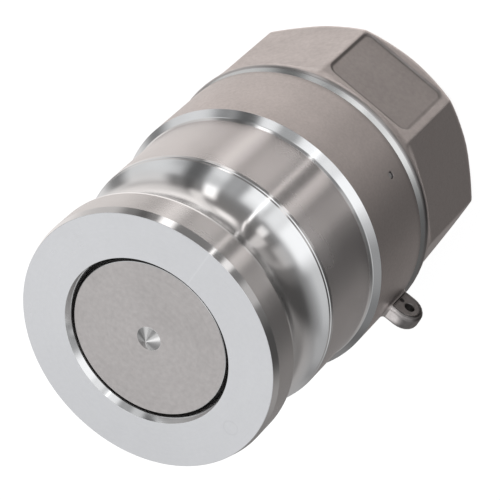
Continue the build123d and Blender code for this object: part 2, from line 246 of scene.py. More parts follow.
def make_floor():
    """Pale paper just below the part. It keeps the shadow and is clear from underneath."""
    half, drop = 4.0, 0.00015
    mesh = bpy.data.meshes.new("floor")
    mesh.from_pydata(
        [(-half, -half, 0), (half, -half, 0), (half, half, 0), (-half, half, 0)], [], [(0, 1, 2, 3)]
    )
    floor = bpy.data.objects.new("floor", mesh)
    floor.location = (0, 0, -drop)
    bpy.context.scene.collection.objects.link(floor)
    material = bpy.data.materials.new("floor_paper")
    material.use_nodes = True
    n = Nodes(material.node_tree)
    rays = n.add("ShaderNodeLightPath").outputs
    paper = n.add("ShaderNodeBsdfDiffuse", {"Color": (0.82, 0.82, 0.82, 1)})
    white = n.add("ShaderNodeEmission", {"Color": (1, 1, 1, 1), "Strength": 0.86})
    faint = n.add("ShaderNodeBsdfDiffuse", {"Color": (0.25, 0.25, 0.25, 1)})
    lit = n.add("ShaderNodeAddShader", {0: white.outputs[0], 1: faint.outputs[0]})
    seen = n.add(
        "ShaderNodeMixShader", {0: rays["Is Camera Ray"], 1: paper.outputs[0], 2: lit.outputs[0]}
    )
    clear = n.add("ShaderNodeBsdfTransparent")
    backs = n.add("ShaderNodeNewGeometry").outputs["Backfacing"]
    either = n.add("ShaderNodeMixShader", {0: backs, 1: seen.outputs[0], 2: clear.outputs[0]})
    n.add("ShaderNodeOutputMaterial", {"Surface": either.outputs[0]})
    mesh.materials.append(material)
    floor.visible_glossy = False


make_floor()


# Sizes that the marks in the materials and the shapes share, in millimetres

BODY_R = 33.3
LUG_HALF_WIDTH, LUG_Z = 2.0, 36.7
END_R, END_SLOPE, END_ROUND = 31.2, 1.08, 0.6
PANEL_BEARING, PANEL_MIDDLE, PANEL_HALF = radians(87.7), 0.72, 11.8
PANEL_LOW, PANEL_HIGH, PANEL_ROUND = 2.75, 23.5, 2.4


# Materials

# Bearing of the painted highlight streak on the face
HIGHLIGHT_STREAK_BEARING = 87.3
STAIN_R, STAIN_BEARING, STAIN_SIZE = 26.0, radians(-9.0), 1.7
RINGS_AROUND, RINGS_UP = 1.6, 1.37
# Tones of painted shade: the lug's shadow round its root and the shade along the seam
ROOT_SHADOW_TONE, SEAM_SHADE_TONE, SEAM_LOW, SEAM_HIGH = 0.72, 0.68, 30.4, 33.0
# The panel's line tone is painted shade and dirt at the foot of its walls
PANEL_TONE, PANEL_LINE_SHADE_TONE, END_RIM_TONE = 0.74, 0.56, 1.36


def turned_coordinates(n, fine):
    """Coordinates that run round the axis: rings that are fine across and long around."""
    place = n.add("ShaderNodeTexCoord").outputs["Object"]
    part = n.add("ShaderNodeSeparateXYZ", {"Vector": place})
    flat = n.add("ShaderNodeCombineXYZ", {"X": part.outputs["X"], "Y": part.outputs["Y"]})
    radius = n.add("ShaderNodeVectorMath", {0: flat.outputs[0]}, operation="LENGTH").outputs["Value"]
    unit = n.add("ShaderNodeVectorMath", {0: flat.outputs[0]}, operation="NORMALIZE").outputs[0]
    side = n.add("ShaderNodeSeparateXYZ", {"Vector": unit})
    along = n.math("ADD", radius, n.math("MULTIPLY", part.outputs["Z"], RINGS_UP))
    rings = n.add(
        "ShaderNodeCombineXYZ",
        {
            "X": n.math("MULTIPLY", side.outputs["X"], RINGS_AROUND),
            "Y": n.math("MULTIPLY", side.outputs["Y"], RINGS_AROUND),
            "Z": n.math("MULTIPLY", along, fine),
        },
    )
    return place, rings.outputs[0], radius


def turned_metal(name, colour, rough, aniso, spread=0.03, depth=0.0005, fine=2600.0,
                 lines=0.12, clouds=0.10, specks=0.0, marks_on=None):
    """Metal finished on a lathe: rings in its height, gloss and tone, clouds, specks and marks."""
    material = bpy.data.materials.new(name)
    material.use_nodes = True
    n = Nodes(material.node_tree)
    place, rings, radius = turned_coordinates(n, fine)
    fine_rings = n.noise(rings, 1.0, 3.0, 0.6)
    coarse_rings = n.noise(rings, 0.22, 1.0, 0.5)
    cloud = n.noise(place, 55.0, 3.0, 0.6)
    speck = n.noise(place, 900.0, 2.0, 0.5)
    ring = n.blend(0.35, fine_rings, coarse_rings)
    gloss = n.ramp(ring, 0.3, 0.7, rough - spread, rough + spread, smooth=False)
    gloss = n.math("ADD", gloss, n.ramp(cloud, 0.45, 0.7, 0.0, 0.15 * rough))
    tone = 1.0
    for share, noise in ((lines, ring), (clouds, cloud), (specks, speck)):
        tone = n.math("MULTIPLY_ADD", n.math("SUBTRACT", noise, 0.5), share, tone)
    if marks_on:
        tone = marks_on(n, place, tone)
    shade = n.add("ShaderNodeVectorMath", {0: colour, "Scale": tone}, operation="SCALE").outputs[0]
    height = n.blend(0.12, ring, speck)
    bump = n.add("ShaderNodeBump", {"Strength": 1.0, "Distance": depth * MM, "Height": height})
    around_axis = n.add("ShaderNodeTangent", direction_type="RADIAL", axis="Z")
    shader = n.add(
        "ShaderNodeBsdfPrincipled",
        {
            "Base Color": shade,
            "Metallic": 1.0,
            "Roughness": gloss,
            "Anisotropic": aniso,
            "Anisotropic Rotation": 0.25,
            "Tangent": around_axis.outputs[0],
            "Normal": bump.outputs[0],
        },
    )
    n.add("ShaderNodeOutputMaterial", {"Surface": shader.outputs[0]})
    return material


def face_highlight_and_stain_marks(n, place, tone):
    """The face's pale radial streak, which is a painted highlight, and the faint ring that a drop left on
    it.
    """
    part = n.add("ShaderNodeSeparateXYZ", {"Vector": place}).outputs
    bearing = n.math("DEGREES", n.math("ARCTAN2", part["Y"], part["X"]))
    off = n.math("ABSOLUTE", n.math("SUBTRACT", bearing, HIGHLIGHT_STREAK_BEARING))
    # The radial streak: a painted highlight
    tone = n.math("MULTIPLY_ADD", n.ramp(off, 0.7, 0.1), 0.05, tone)
    middle = (STAIN_R * cos(STAIN_BEARING) * MM, STAIN_R * sin(STAIN_BEARING) * MM, 0)
    flat = n.add("ShaderNodeCombineXYZ", {"X": part["X"], "Y": part["Y"]}).outputs[0]
    away = n.add("ShaderNodeVectorMath", {0: flat, 1: middle}, operation="DISTANCE").outputs["Value"]
    rim = n.math("ABSOLUTE", n.math("SUBTRACT", away, STAIN_SIZE * MM))
    return n.math("MULTIPLY_ADD", n.ramp(rim, 0.35 * MM, 0.0), -0.05, tone)


def painted_shade_side(share, low, high, toward=0):
    """Painted shade on one side of a band: its tone rises from share to 1
    between two bearings, in degrees from the middle of that side. The lug's side is 0."""
    def marks(n, place, tone):
        part = n.add("ShaderNodeSeparateXYZ", {"Vector": place}).outputs
        bearing = n.math("DEGREES", n.math("ARCTAN2", part["Y"], part["X"]))
        off = n.math("ABSOLUTE", n.math("WRAP", n.math("SUBTRACT", bearing, toward), 180.0, -180.0))
        return n.math("MULTIPLY", tone, n.ramp(off, low, high, share, 1.0))
    return marks


def cast_metal(name, colour, rough, grain, depth, lumps=0.0, stain=0.10, marks_on=None):
    """Cast and blasted metal: a fine pitted grain, slow lumps, uneven tone and marks."""
    material = bpy.data.materials.new(name)
    material.use_nodes = True
    n = Nodes(material.node_tree)
    place = n.add("ShaderNodeTexCoord").outputs["Object"]
    pits = n.noise(place, grain, 3.0, 0.65)
    cloud = n.noise(place, 60.0, 3.0, 0.6)
    slow = n.noise(place, 260.0, 2.0, 0.5)
    height = n.math("ADD", n.math("MULTIPLY", pits, depth), n.math("MULTIPLY", slow, lumps))
    tone = n.ramp(n.blend(0.5, pits, cloud), 0.34, 0.66, 0.0, 1.0, smooth=False)
    dark = tuple((1 - 1.6 * stain) * c for c in colour)
    shade = n.mix(tone, (*dark, 1), (*colour, 1))
    if marks_on:
        share = marks_on(n, place)
        shade = n.add("ShaderNodeVectorMath", {0: shade, "Scale": share}, operation="SCALE").outputs[0]
    gloss = n.ramp(n.blend(0.4, pits, cloud), 0.3, 0.7, rough + 0.06, rough - 0.06, smooth=False)
    bump = n.add("ShaderNodeBump", {"Strength": 1.0, "Distance": MM, "Height": height})
    shader = n.add(
        "ShaderNodeBsdfPrincipled",
        {
            "Base Color": shade,
            "Metallic": 1.0,
            "Roughness": gloss,
            "Normal": bump.outputs[0],
        },
    )
    n.add("ShaderNodeOutputMaterial", {"Surface": shader.outputs[0]})
    return material


def near_spot(n, place, spot, size, soft, inside):
    """A share that is 1 outside a stretched ball about a spot and the given value inside it. The
    ball's size is given as half its width in x, y and z."""
    off = n.add("ShaderNodeVectorMath", {0: place, 1: Vector(spot) * MM}, operation="SUBTRACT").outputs[0]
    stretch = Vector([1 / (s * MM) for s in size])
    off = n.add("ShaderNodeVectorMath", {0: off, 1: stretch}, operation="MULTIPLY").outputs[0]
    away = n.add("ShaderNodeVectorMath", {0: off}, operation="LENGTH").outputs["Value"]
    return n.ramp(away, 1 - soft, 1 + soft, inside, 1.0)


def body_shade_marks(n, place):
    """Painted shade on the body: the lug's painted shadow round its root and painted shade along the seam.
    """
    height = n.add("ShaderNodeSeparateXYZ", {"Vector": place}).outputs["Z"]
    # Painted shade along the seam
    seam_shade = n.ramp(height, SEAM_LOW * MM, SEAM_HIGH * MM, SEAM_SHADE_TONE, 1.0)
    # The lug's painted shadow round its root
    root_shadow = near_spot(n, place, (BODY_R, 0, LUG_Z), (6, 4.0, 6.4), 0.42, ROOT_SHADOW_TONE)
    return n.math("MULTIPLY", root_shadow, seam_shade)


def lug_highlight_and_shade_marks(n, place):
    """Painted shade for small pits between the lug's root and its eye, and a painted highlight on the front
    of its rim.
    """
    # A painted highlight on the front of the rim
    share = near_spot(n, place, (34.4, 0, 41.3), (3.1, 1.9, 2.0), 0.45, 3.4)
    for side in (1, -1):
        # Painted shade of a small pit on each side
        pit_shade = near_spot(n, place, (34.7, side * LUG_HALF_WIDTH, 36.4), (0.62, 0.6, 0.62), 0.3, 0.12)
        share = n.math("MULTIPLY", pit_shade, share)
    return share


def panel_shade_and_rim_marks(n, place):
    """The tail's panel has a darker floor and a dark line of painted shade and dirt at the foot of
    its walls, and the tail's end has a paler rim."""
    part = n.add("ShaderNodeSeparateXYZ", {"Vector": place}).outputs
    across, out = cos(PANEL_BEARING), sin(PANEL_BEARING)
    side = n.math("SUBTRACT", n.math("MULTIPLY", part["Y"], across), n.math("MULTIPLY", part["X"], out))
    front = n.math("ADD", n.math("MULTIPLY", part["X"], across), n.math("MULTIPLY", part["Y"], out))
    side = n.math("ABSOLUTE", n.math("SUBTRACT", side, PANEL_MIDDLE * MM))
    side = n.math("SUBTRACT", side, (PANEL_HALF - PANEL_ROUND) * MM)
    up = n.math("ABSOLUTE", n.math("SUBTRACT", part["Z"], (PANEL_HIGH + PANEL_LOW) / 2 * MM))
    up = n.math("SUBTRACT", up, ((PANEL_HIGH - PANEL_LOW) / 2 - PANEL_ROUND) * MM)
    inside = n.math("MINIMUM", n.math("MAXIMUM", side, up), 0.0)
    side, up = n.math("MAXIMUM", side, 0.0), n.math("MAXIMUM", up, 0.0)
    outside = n.math("SQRT", n.math("ADD", n.math("MULTIPLY", side, side), n.math("MULTIPLY", up, up)))
    past = n.math("SUBTRACT", n.math("ADD", inside, outside), PANEL_ROUND * MM)
    floor = n.ramp(past, 0.1 * MM, -0.5 * MM, 1.0, PANEL_TONE)
    # The dark line of painted shade and dirt at the foot of the walls
    off = n.math("ABSOLUTE", n.math("ADD", past, 0.35 * MM))
    line = n.ramp(off, 0.75 * MM, 0.1 * MM, 1.0, PANEL_LINE_SHADE_TONE)
    facing = n.math("GREATER_THAN", front, 0.0)
    flat = n.add("ShaderNodeCombineXYZ", {"X": part["X"], "Y": part["Y"]}).outputs[0]
    radius = n.add("ShaderNodeVectorMath", {0: flat}, operation="LENGTH").outputs["Value"]
    cone = n.math("MULTIPLY", n.math("SUBTRACT", radius, END_R * MM), END_SLOPE)
    rim = n.ramp(n.math("SUBTRACT", part["Z"], cone), 1.3 * MM, 0.3 * MM, 1.0, END_RIM_TONE)
    return n.math("MULTIPLY", n.blend(facing, 1.0, n.math("MULTIPLY", floor, line)), rim)


def moulded(name, colour, rough, grain, depth):
    """Moulded rubber or polymer: faint grain and flow marks."""
    material = bpy.data.materials.new(name)
    material.use_nodes = True
    n = Nodes(material.node_tree)
    place = n.add("ShaderNodeTexCoord").outputs["Object"]
    fine = n.noise(place, grain, 3.0, 0.6)
    cloud = n.noise(place, 120.0, 2.0, 0.5)
    light = tuple(min(1.0, 1.25 * c + 0.01) for c in colour)
    shade = n.mix(n.ramp(cloud, 0.35, 0.7), (*colour, 1), (*light, 1))
    gloss = n.ramp(fine, 0.3, 0.7, rough - 0.08, rough + 0.08, smooth=False)
    bump = n.add("ShaderNodeBump", {"Strength": 1.0, "Distance": depth * MM, "Height": fine})
    shader = n.add(
        "ShaderNodeBsdfPrincipled",
        {"Base Color": shade, "Roughness": gloss, "Normal": bump.outputs[0]},
    )
    n.add("ShaderNodeOutputMaterial", {"Surface": shader.outputs[0]})
    return material


face_steel = turned_metal(
    "face_turned_steel", (0.69, 0.69, 0.70), 0.30, 0.55, spread=0.04, depth=0.0005, fine=1500.0,
    lines=0.14, clouds=0.14, specks=0.06, marks_on=face_highlight_and_stain_marks,
)
land_steel = turned_metal(
    "land_turned_steel", (0.66, 0.64, 0.63), 0.24, 1.0, spread=0.008, lines=0.05, depth=0.00004
)
groove_steel = turned_metal(
    "groove_polished_steel", (0.70, 0.70, 0.70), 0.13, 0.9, spread=0.01, lines=0.06, depth=0.0001
)
edge_steel = turned_metal("edge_polished_steel", (0.70, 0.70, 0.70), 0.11, 0.3, lines=0.06, depth=0.0004)
# The band, the collar's bevel and the seam's ring take painted shade on the lug's side
band_steel = turned_metal(
    "band_polished_steel", (0.70, 0.70, 0.70), 0.12, 0.3, lines=0.06, depth=0.0004,
    marks_on=painted_shade_side(0.50, 40, 56),
)
# Satin steel for the collar's bevel, its colour darkened as painted shade from the body above
bevel_shaded_steel = turned_metal(
    "bevel_satin_shaded_steel", (0.42, 0.405, 0.40), 0.30, 0.4, lines=0.08, depth=0.0008,
    marks_on=painted_shade_side(0.50, 36, 60),
)
ring_steel = turned_metal(
    "seam_bright_steel", (0.60, 0.60, 0.59), 0.24, 0.4, lines=0.08, depth=0.0006,
    marks_on=painted_shade_side(0.34, 36, 60),
)
shoulder_steel = turned_metal(
    "shoulder_satin_steel", (0.65, 0.62, 0.61), 0.25, 1.0, spread=0.008, lines=0.05, clouds=0.16,
    depth=0.00004,
)
poppet_steel = turned_metal(
    "poppet_turned_steel", (0.515, 0.487, 0.475), 0.36, 0.5, spread=0.07, depth=0.004, fine=1300.0,
    lines=0.46, clouds=0.40, specks=0.28,
)
# One side of the pip is darkened with painted shade
pip_steel = turned_metal(
    "pip_turned_steel", (0.70, 0.69, 0.68), 0.17, 0.2, lines=0.06,
    marks_on=painted_shade_side(0.45, 30, 85, toward=210),
)
bore_steel = turned_metal(
    "bore_turned_steel", (0.50, 0.49, 0.48), 0.32, 0.4, spread=0.07, depth=0.004, fine=1500.0
)
blasted_steel = cast_metal(
    "body_blasted_steel", (0.59, 0.54, 0.52), 0.44, 1500.0, 0.006, marks_on=body_shade_marks
)
# A darker copy of the cast steel: painted shade on the lug and in the pin's hole
lug_shaded_steel = cast_metal(
    "lug_cast_shaded_steel", (0.23, 0.215, 0.21), 0.34, 1200.0, 0.010, stain=0.16, marks_on=lug_highlight_and_shade_marks
)
# Near-black steel: painted shade inside the lug's eye
eye_shade_steel = cast_metal("lug_eye_shade_steel", (0.13, 0.12, 0.115), 0.6, 1500.0, 0.006)
cast_steel = cast_metal(
    "tail_cast_steel", (0.60, 0.55, 0.53), 0.46, 900.0, 0.012, lumps=0.02, marks_on=panel_shade_and_rim_marks
)
spider_steel = cast_metal("spider_cast_steel", (0.46, 0.45, 0.44), 0.5, 900.0, 0.012, lumps=0.02)
fastener_steel = turned_metal("fastener_steel", (0.60, 0.60, 0.60), 0.28, 0.3, spread=0.05, depth=0.002)
spring_steel = cast_metal("spring_wire_steel", (0.42, 0.42, 0.43), 0.30, 1800.0, 0.003)
rubber = moulded("seal_rubber_black", (0.018, 0.018, 0.018), 0.55, 1400.0, 0.004)
polymer = moulded("bearing_polymer_white", (0.74, 0.73, 0.70), 0.45, 900.0, 0.004)


# Turned shapes

# The rounding of a corner that names none, the bend below which such a corner stays one row, the
# bend between the rows of a rounding, and the radius below which a point lies on the axis
EDGE_ROUND, SMOOTH_TURN, ARC_TURN, ON_AXIS = 0.04, radians(14), radians(20), 1e-6


def profile_rows(corners, closed=True):
    """Rows (r, z, nr, nz, finish) along a turned profile that runs anticlockwise.
    Each corner is (r, z, radius, finish); the finish is that of the stretch after it."""
    rows = []
    count = len(corners)
    for k, (r, z, radius, finish) in enumerate(corners):
        at = np.array((r, z), float)
        before = np.array(corners[(k - 1) % count][:2], float)
        after = np.array(corners[(k + 1) % count][:2], float)
        if not closed and k in (0, count - 1):
            way = after - at if k == 0 else at - before
            way = way / np.linalg.norm(way)
            rows.append((r, z, 0.0 if r < ON_AXIS else way[1], -way[0], finish))
            continue
        coming, going = at - before, after - at
        run_in, run_out = np.linalg.norm(coming), np.linalg.norm(going)
        coming, going = coming / run_in, going / run_out
        turn = atan2(coming[0] * going[1] - coming[1] * going[0], float(coming @ going))
        normal_in = np.array((coming[1], -coming[0]))
        normal_out = np.array((going[1], -going[0]))
        if abs(turn) < SMOOTH_TURN and radius == 0:
            middle = normal_in + normal_out
            middle = middle / np.linalg.norm(middle)
            rows.append((r, z, middle[0], middle[1], finish))
            continue
        radius = radius or EDGE_ROUND
        back_off = min(radius * tan(abs(turn) / 2), 0.45 * run_in, 0.45 * run_out)
        radius = back_off / tan(abs(turn) / 2)
        side = 1 if turn > 0 else -1
        start = at - coming * back_off
        centre = start - side * normal_in * radius
        parts = max(2, ceil(abs(turn) / ARC_TURN))
        for step in range(parts + 1):
            a = turn * step / parts
            normal = np.array((
                normal_in[0] * cos(a) - normal_in[1] * sin(a),
                normal_in[0] * sin(a) + normal_in[1] * cos(a),
            ))
            spot = centre + side * normal * radius
            rows.append((spot[0], spot[1], normal[0], normal[1], finish))
    return rows


def arc_corners(centre_r, centre_z, radius, start_z, end_z, parts, finish):
    """Points on an arc that bulges towards the axis, from start_z up to end_z."""
    a0, a1 = (np.arcsin((z - centre_z) / radius) for z in (start_z, end_z))
    found = []
    for step in range(1, parts):
        a = a0 + (a1 - a0) * step / parts
        found.append((centre_r - radius * cos(a), centre_z + radius * sin(a), 0, finish))
    return found


def turned_grid(rows, closed=True):
    """Rows swept round the axis: vertices, faces, normals, each face's finish, each face's column
    and row, and the vertex numbers by column and row."""
    count = len(rows)
    verts, normals, index = [], [], []
    for i in range(STEPS):
        a = 2 * pi * i / STEPS
        column = []
        for j, (r, z, nr, nz, finish) in enumerate(rows):
            if r < ON_AXIS and i > 0:
                column.append(index[0][j])
                continue
            column.append(len(verts))
            verts.append((r * cos(a), r * sin(a), z))
            normals.append((nr * cos(a), nr * sin(a), nz))
        index.append(column)
    faces, finishes, cells = [], [], []
    for i in range(STEPS):
        near, far = index[i], index[(i + 1) % STEPS]
        for j in range(count if closed else count - 1):
            up = (j + 1) % count
            corners = [near[j], far[j], far[up], near[up]]
            corners = list(dict.fromkeys(corners))
            if len(corners) > 2:
                faces.append(corners)
                finishes.append(rows[j][4])
                cells.append((i, j))
    return verts, faces, normals, finishes, cells, index


def area_normals(verts, faces):
    """Vertex normals that lean towards the larger faces, so that flats stay flat."""
    co = np.array(verts, float)
    total = np.zeros_like(co)
    for size in (3, 4):
        chosen = np.array([f for f in faces if len(f) == size], int).reshape(-1, size)
        if not len(chosen):
            continue
        first = co[chosen[:, 2]] - co[chosen[:, 0]]
        if size == 4:
            second = co[chosen[:, 3]] - co[chosen[:, 1]]
        else:
            second = co[chosen[:, 2]] - co[chosen[:, 1]]
        weight = np.cross(first, second)
        for corner in range(size):
            np.add.at(total, chosen[:, corner], weight)
    length = np.linalg.norm(total, axis=1, keepdims=True)
    return total / np.maximum(length, 1e-12)


def make_piece(name, verts, faces, normals, finishes, materials, body, slot, *nodes):
    """A mesh given in millimetres becomes a piece that rides on a body and stands for CAD nodes."""
    mesh = bpy.data.meshes.new(name)
    mesh.from_pydata([(x * MM, y * MM, z * MM) for x, y, z in verts], [], faces)
    order = sorted(set(finishes))
    for finish in order:
        mesh.materials.append(materials[finish])
    mesh.polygons.foreach_set("material_index", [order.index(f) for f in finishes])
    mesh.polygons.foreach_set("use_smooth", [True] * len(faces))
    mesh.normals_split_custom_set_from_vertices([tuple(v) for v in normals])
    mesh.update()
    piece = bpy.data.objects.new(name, mesh)
    bpy.context.scene.collection.objects.link(piece)
    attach(piece, body)
    if nodes:
        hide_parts(*nodes)
    return piece


steels = {
    "face": face_steel,
    "land": land_steel,
    "groove": groove_steel,
    "edge": edge_steel,
    "bevel": bevel_shaded_steel,
    "ring": ring_steel,
    "band": band_steel,
    "lug": lug_shaded_steel,
    "eye": eye_shade_steel,
    "shoulder": shoulder_steel,
    "poppet": poppet_steel,
    "pip": pip_steel,
    "bore": bore_steel,
    "blasted": blasted_steel,
    "cast": cast_steel,
    "fastener": fastener_steel,
    "spring": spring_steel,
}


# Nose and body with the lug and the hole of the lock pin

NOSE_R, FACE_Z = 31.5, 99.0
JOINT_Z, BODY_TOP = 30.6, 51.5
GROOVE_LOW, GROOVE_HIGH = 73.0, 89.7
GROOVE_ARC_CENTRE, GROOVE_ARC_Z, GROOVE_ARC_R, GROOVE_PARTS = 39.69, 81.45, 12.0, 26
JOINT_THREAD_R, JOINT_BORE_R, WIDE_CHAMBER_R, NECK_CHAMBER_R, THROAT_R = 30.0, 29.0, 27.0, 23.4, 19.5
LUG_ROUND, LUG_EDGE, LUG_FILLET = 4.2, 1.0, 0.8
LUG_X, RIM_START, RIM_PARTS = 36.6, 1.3, 12
EYE_R, EYE_X, EYE_MARGIN_R = 1.2, 37.1, 1.6
LUG_ROWS, LUG_COLUMNS = 12, 6
LUG_LOW, LUG_HIGH = 31.2, 42.2
PIN_R, PIN_ANGLE, PIN_Z = 0.82, radians(60.4), 37.0
PIN_CELLS, PIN_REACH, PIN_HOLE_DEPTH = 3, 1.9, 4.6
ARC_PARTS = 4


def ring_grid(loops, faces, finishes, finish):
    """Quads between neighbouring closed loops of vertex numbers, all of one length."""
    for low, high in zip(loops, loops[1:]):
        size = len(low)
        for k in range(size):
            after = (k + 1) % size
            faces.append([low[k], low[after], high[after], high[k]])
            finishes.append(finish)


def make_nose():
    lug_zs = [LUG_LOW + (LUG_HIGH - LUG_LOW) * k / LUG_ROWS for k in range(LUG_ROWS + 1)]
    corners = [
        (JOINT_THREAD_R, JOINT_Z, 0.1, "bore"),
        (32.8, JOINT_Z, 0.06, "edge"),
        (32.98, 30.74, 0.06, "blasted"),
        (33.18, 30.93, 0.06, "blasted"),
        *((BODY_R, z, 0, "blasted") for z in lug_zs),
        (BODY_R, BODY_TOP, 0.12, "band"),
        (31.85, 53.03, 0.9, "edge"),
        (NOSE_R, 53.95, 0.9, "shoulder"),
        (NOSE_R, 71.75, 0.40, "edge"),
        (31.37, 72.42, 0.05, "edge"),
        (31.2, 72.57, 0.05, "edge"),
        (31.1, GROOVE_LOW, 0.05, "groove"),
        *arc_corners(
            GROOVE_ARC_CENTRE, GROOVE_ARC_Z, GROOVE_ARC_R, GROOVE_LOW, GROOVE_HIGH, GROOVE_PARTS, "groove"
        ),
        (30.98, GROOVE_HIGH, 0, "edge"),
        (31.38, 89.93, 0.15, "edge"),
        (31.49, 90.6, 0.40, "land"),
        (NOSE_R, 97.0, 0.10, "edge"),
        (31.0, FACE_Z, 0.12, "face"),
        (20.3, FACE_Z, 0.08, "edge"),
        (19.57, 97.56, 0.05, "edge"),
        (THROAT_R, 97.3, 0, "bore"),
        (THROAT_R, 95.6, 0.10, "bore"),
        (NECK_CHAMBER_R, 91.8, 0.3, "bore"),
        (NECK_CHAMBER_R, 72.8, 0.3, "bore"),
        (WIDE_CHAMBER_R, 69.2, 0.3, "bore"),
        (WIDE_CHAMBER_R, 47.5, 0.15, "bore"),
        (JOINT_BORE_R, 47.5, 0.1, "bore"),
        (JOINT_BORE_R, 39.2, 0.1, "bore"),
        (JOINT_THREAD_R, 38.2, 0.1, "bore"),
    ]
    rows = profile_rows(corners)
    verts, faces, normals, finishes, cells, index = turned_grid(rows)
    zs = [row[1] for row in rows]
    outer = [j for j, row in enumerate(rows) if row[0] > BODY_R - 0.001 and row[4] == "blasted"]
    first = min(outer, key=lambda j: abs(zs[j] - LUG_LOW))
    last = first + LUG_ROWS
    half = LUG_COLUMNS // 2

    pin_column = round(PIN_ANGLE / (2 * pi / STEPS)) - 1
    pin_end = pin_column + PIN_CELLS
    pin_low = min(j for j in range(first, last) if abs(zs[j] - PIN_Z) < PIN_REACH)
    pin_high = pin_low + PIN_CELLS

    # The turned skin is opened where the lug grows out of it and at the pin's hole
    kept_faces, kept_finishes = [], []
    for face, finish, (i, j) in zip(faces, finishes, cells):
        column = i if i < STEPS // 2 else i - STEPS
        in_lug = -half <= column < half and first <= j < last
        in_pin = pin_column <= i < pin_end and pin_low <= j < pin_high
        if not in_lug and not in_pin:
            kept_faces.append(face)
            kept_finishes.append(finish)
    faces, finishes = kept_faces, kept_finishes
    turned_count = len(verts)

    def add(x, y, z):
        verts.append((x, y, z))
        return len(verts) - 1

    # The lug's cross-section near the body, as (centre y, centre z, outward y, outward z)
    flat_y, flat_z = LUG_HALF_WIDTH - LUG_EDGE, LUG_ROUND - LUG_EDGE
    section = []

    def section_arc(cy, cz, start, parts):
        for k in range(parts + 1):
            a = radians(start + 90 * k / ARC_PARTS)
            section.append((cy, cz, cos(a), sin(a)))

    def section_line(y0, z0, y1, z1, dy, dz, parts):
        for k in range(1, parts):
            t = k / parts
            section.append((y0 + (y1 - y0) * t, z0 + (z1 - z0) * t, dy, dz))

    section_arc(-flat_y, -flat_z, 225, 2)
    section_line(-flat_y, -flat_z, flat_y, -flat_z, 0, -1, 2)
    section_arc(flat_y, -flat_z, 270, 4)
    section_line(flat_y, -flat_z, flat_y, flat_z, 1, 0, 8)
    section_arc(flat_y, flat_z, 0, 4)
    section_line(flat_y, flat_z, -flat_y, flat_z, 0, 1, 2)
    section_arc(-flat_y, flat_z, 90, 4)
    section_line(-flat_y, flat_z, -flat_y, -flat_z, -1, 0, 8)
    section_arc(-flat_y, -flat_z, 180, 1)
    # Numbers of the section's points at the ends of its two flat sides
    right_low, right_high, left_high, left_low = 8, 16, 26, 34

    border = [index[c % STEPS][first] for c in range(-half, half)]
    border += [index[half][j] for j in range(first, last)]
    border += [index[c % STEPS][last] for c in range(half, -half, -1)]
    border += [index[-half % STEPS][j] for j in range(last, first, -1)]

    loops = [border]
    for k in range(ARC_PARTS + 1):
        t = radians(90 * (1 - k / ARC_PARTS))
        spread, lift = LUG_FILLET * (1 - cos(t)), LUG_FILLET * (1 - sin(t))
        loop = []
        for cy, cz, dy, dz in section:
            y = cy + (LUG_EDGE + spread) * dy
            z = LUG_Z + cz + (LUG_EDGE + spread) * dz
            loop.append(add(sqrt((BODY_R + lift) ** 2 - y * y), y, z))
        loops.append(loop)
    ring_grid(loops, faces, finishes, "blasted")
    root = loops[-1]

    # The rim: the rounded edge swept from the lower root round the end to the upper root
    path = [(LUG_X - RIM_START, -flat_z, 0, -1)]
    for k in range(RIM_PARTS + 1):
        a = radians(-90 + 180 * k / RIM_PARTS)
        path.append((LUG_X + flat_z * cos(a), flat_z * sin(a), cos(a), sin(a)))
    path.append((LUG_X - RIM_START, flat_z, 0, 1))
    turns = [radians(90 * k / ARC_PARTS) for k in range(ARC_PARTS + 1)]
    edge = [(flat_y + LUG_EDGE * cos(a), LUG_EDGE * sin(a)) for a in turns]
    edge += [(0.0, LUG_EDGE)] + [(-y, s) for y, s in reversed(edge)]
    low_root = root[right_low::-1] + root[:left_low - 1:-1]
    high_root = root[right_high:left_high + 1]
    strips = [low_root]
    for x, z, ox, oz in path:
        strips.append([add(x + ox * s, y, LUG_Z + z + oz * s) for y, s in edge])
    strips.append(high_root)
    for low, high in zip(strips, strips[1:]):
        for k in range(len(low) - 1):
            faces.append([low[k + 1], low[k], high[k], high[k + 1]])
            finishes.append("lug")

    # The two flat faces with the eye between them
    walls = []
    for side in (1, -1):
        if side == 1:
            line = root[right_low:right_high + 1]
            outline = [strip[0] for strip in strips[1:-1]]
        else:
            line = root[left_low:left_high - 1:-1]
            outline = [strip[-1] for strip in strips[1:-1]]
        around = line + outline[::-1]
        spots = [verts[v] for v in around]
        angles = [atan2(z - LUG_Z, x - EYE_X) for x, y, z in spots]
        halfway = [
            add(
                x + (EYE_X + EYE_MARGIN_R * cos(a) - x) * 0.5,
                side * LUG_HALF_WIDTH,
                z + (LUG_Z + EYE_MARGIN_R * sin(a) - z) * 0.5,
            )
            for (x, y, z), a in zip(spots, angles)
        ]
        rings = [around, halfway]
        for radius, down in ((1.42, 0.0), (1.30, 0.05), (1.22, 0.14), (EYE_R, 0.3)):
            rings.append([
                add(EYE_X + radius * cos(a), side * (LUG_HALF_WIDTH - down), LUG_Z + radius * sin(a))
                for a in angles
            ])
        # The deepest ring and the eye's wall take near-black steel, painted shade
        for depth, (low, high) in enumerate(zip(rings, rings[1:])):
            size = len(low)
            for k in range(size):
                after = (k + 1) % size
                quad = [low[k], low[after], high[after], high[k]]
                faces.append(quad if side == -1 else quad[::-1])
                finishes.append("lug" if depth < 4 else "eye")
        walls.append(rings[-1])
    near, far = walls
    for k in range(len(near)):
        after = (k + 1) % len(near)
        faces.append([near[after], near[k], far[k], far[after]])
        finishes.append("eye")

